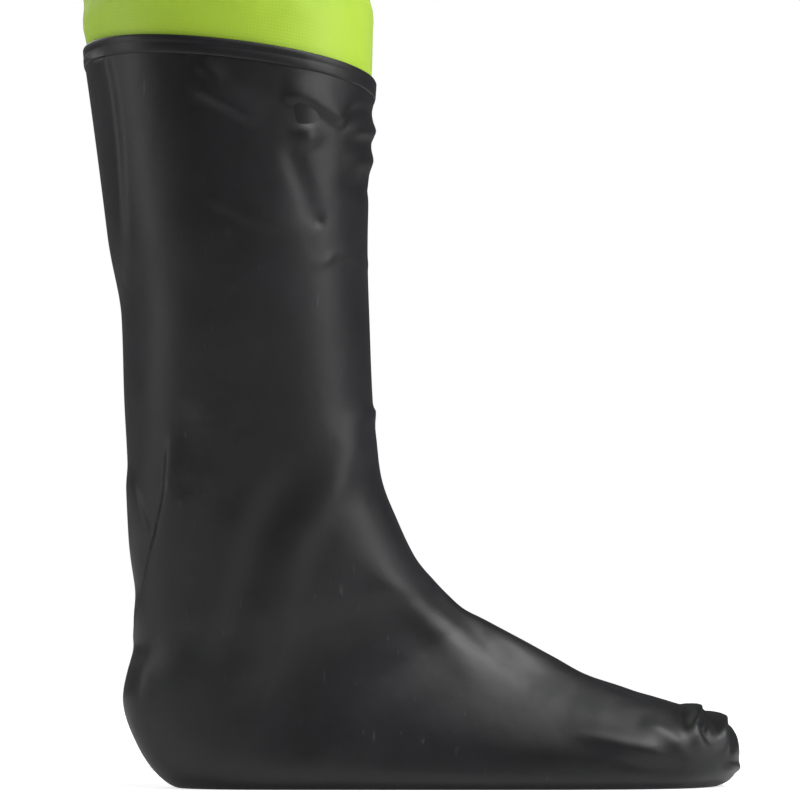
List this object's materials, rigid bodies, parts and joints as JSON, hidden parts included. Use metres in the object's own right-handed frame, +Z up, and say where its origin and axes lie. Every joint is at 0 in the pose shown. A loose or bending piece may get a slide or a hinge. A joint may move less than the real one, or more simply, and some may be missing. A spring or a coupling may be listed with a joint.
{
  "type": "chest waders",
  "caption": "Stocking-foot chest waders with latex socks, buckled elastic braces, a belt and a zipped chest pocket, shaped as worn.",
  "frame": {"origin": "on the floor under the middle of the whole object's box", "axes": "+Z up the wearer's body, +X the way the toes point, +Y to the wearer's left"},
  "size_m": [0.3876, 0.4278, 1.5107],
  "materials": {
    "coated_fabric": "smooth coated woven fabric, lime green, satin",
    "patch_fabric": "heavier coated fabric, a deeper lime green",
    "latex": "moulded black latex, satin with dust and scuffs",
    "latex_tape": "black latex tape, satin",
    "binding": "black woven binding",
    "webbing": "black polypropylene webbing",
    "elastic": "black woven elastic",
    "yoke_plate": "black coated sheet, matte",
    "acetal": "black moulded acetal",
    "zip_tape": "black coil zip on woven tape",
    "steel": "nickel-plated, satin"
  },
  "bodies": {
    "garment": {"right_sock": "latex", "left_sock": "latex", "right_sock_edge_tape": "latex_tape", "left_sock_edge_tape": "latex_tape", "right_leg_front_panel": "coated_fabric", "right_leg_back_panel": "coated_fabric", "left_leg_front_panel": "coated_fabric", "left_leg_back_panel": "coated_fabric", "right_knee_patch": "patch_fabric", "left_knee_patch": "patch_fabric", "front_bib_panel": "coated_fabric", "back_bib_panel": "coated_fabric", "top_edge_binding": "binding", "right_brace_tab": "webbing", "left_brace_tab": "webbing", "right_brace_socket": "acetal", "left_brace_socket": "acetal", "right_brace_strap": "elastic", "left_brace_strap": "elastic", "back_yoke": "yoke_plate", "back_tab": "elastic", "belt_webbing": "webbing", "belt_socket": "acetal", "belt_loop_right_front": "patch_fabric", "belt_loop_left_front": "patch_fabric", "belt_loop_left_back": "patch_fabric", "belt_loop_back": "patch_fabric", "belt_loop_right_back": "patch_fabric", "pocket_panel": "patch_fabric", "pocket_zip": "zip_tape", "d_ring_tab": "webbing"},
    "right_clip": {"right_brace_clip": "acetal", "right_brace_end": "elastic"},
    "left_clip": {"left_brace_clip": "acetal", "left_brace_end": "elastic"},
    "right_slider": {"right_brace_slider": "acetal"},
    "left_slider": {"left_brace_slider": "acetal"},
    "belt_clip": {"belt_clip": "acetal", "belt_tail": "webbing"},
    "zip_slider": {"pocket_zip_slider": "steel"},
    "zip_pull": {"pocket_zip_pull": "steel"},
    "d_ring": {"chest_d_ring": "steel"}
  },
  "joints": [
    {"name": "right_clip_release", "type": "slide", "parent": "garment", "child": "right_clip", "axis": [-0.279, 0.0498, 0.959], "range_m": [0, 0.036], "deforming": ["right_brace_strap"]},
    {"name": "left_clip_release", "type": "slide", "parent": "garment", "child": "left_clip", "axis": [-0.279, -0.0498, 0.959], "range_m": [0, 0.036], "deforming": ["left_brace_strap"]},
    {"name": "right_slider_adjust", "type": "slide", "parent": "right_clip", "child": "right_slider", "axis": [-0.279, 0.0498, 0.959], "range_m": [-0.02, 0.03], "deforming": ["right_brace_end"]},
    {"name": "left_slider_adjust", "type": "slide", "parent": "left_clip", "child": "left_slider", "axis": [-0.279, -0.0498, 0.959], "range_m": [-0.02, 0.03], "deforming": ["left_brace_end"]},
    {"name": "belt_clip_release", "type": "slide", "parent": "garment", "child": "belt_clip", "axis": [0, 1, 0], "range_m": [0, 0.036], "deforming": ["belt_webbing"]},
    {"name": "zip_open", "type": "slide", "parent": "garment", "child": "zip_slider", "axis": [-0.0684, -0.0204, -0.9974], "range_m": [0, 0.125]},
    {"name": "zip_pull_swing", "type": "hinge", "parent": "zip_slider", "child": "zip_pull", "pos_m": [0.10611, 0.05847, 1.24859], "axis": [0.1072, -0.9941, 0.013], "range_deg": [-3, 165]},
    {"name": "d_ring_swing", "type": "hinge", "parent": "garment", "child": "d_ring", "pos_m": [0.07606, -0.1336, 1.17726], "axis": [-0.3963, -0.9181, -0.0074], "range_deg": [-8, 150]}
  ]
}
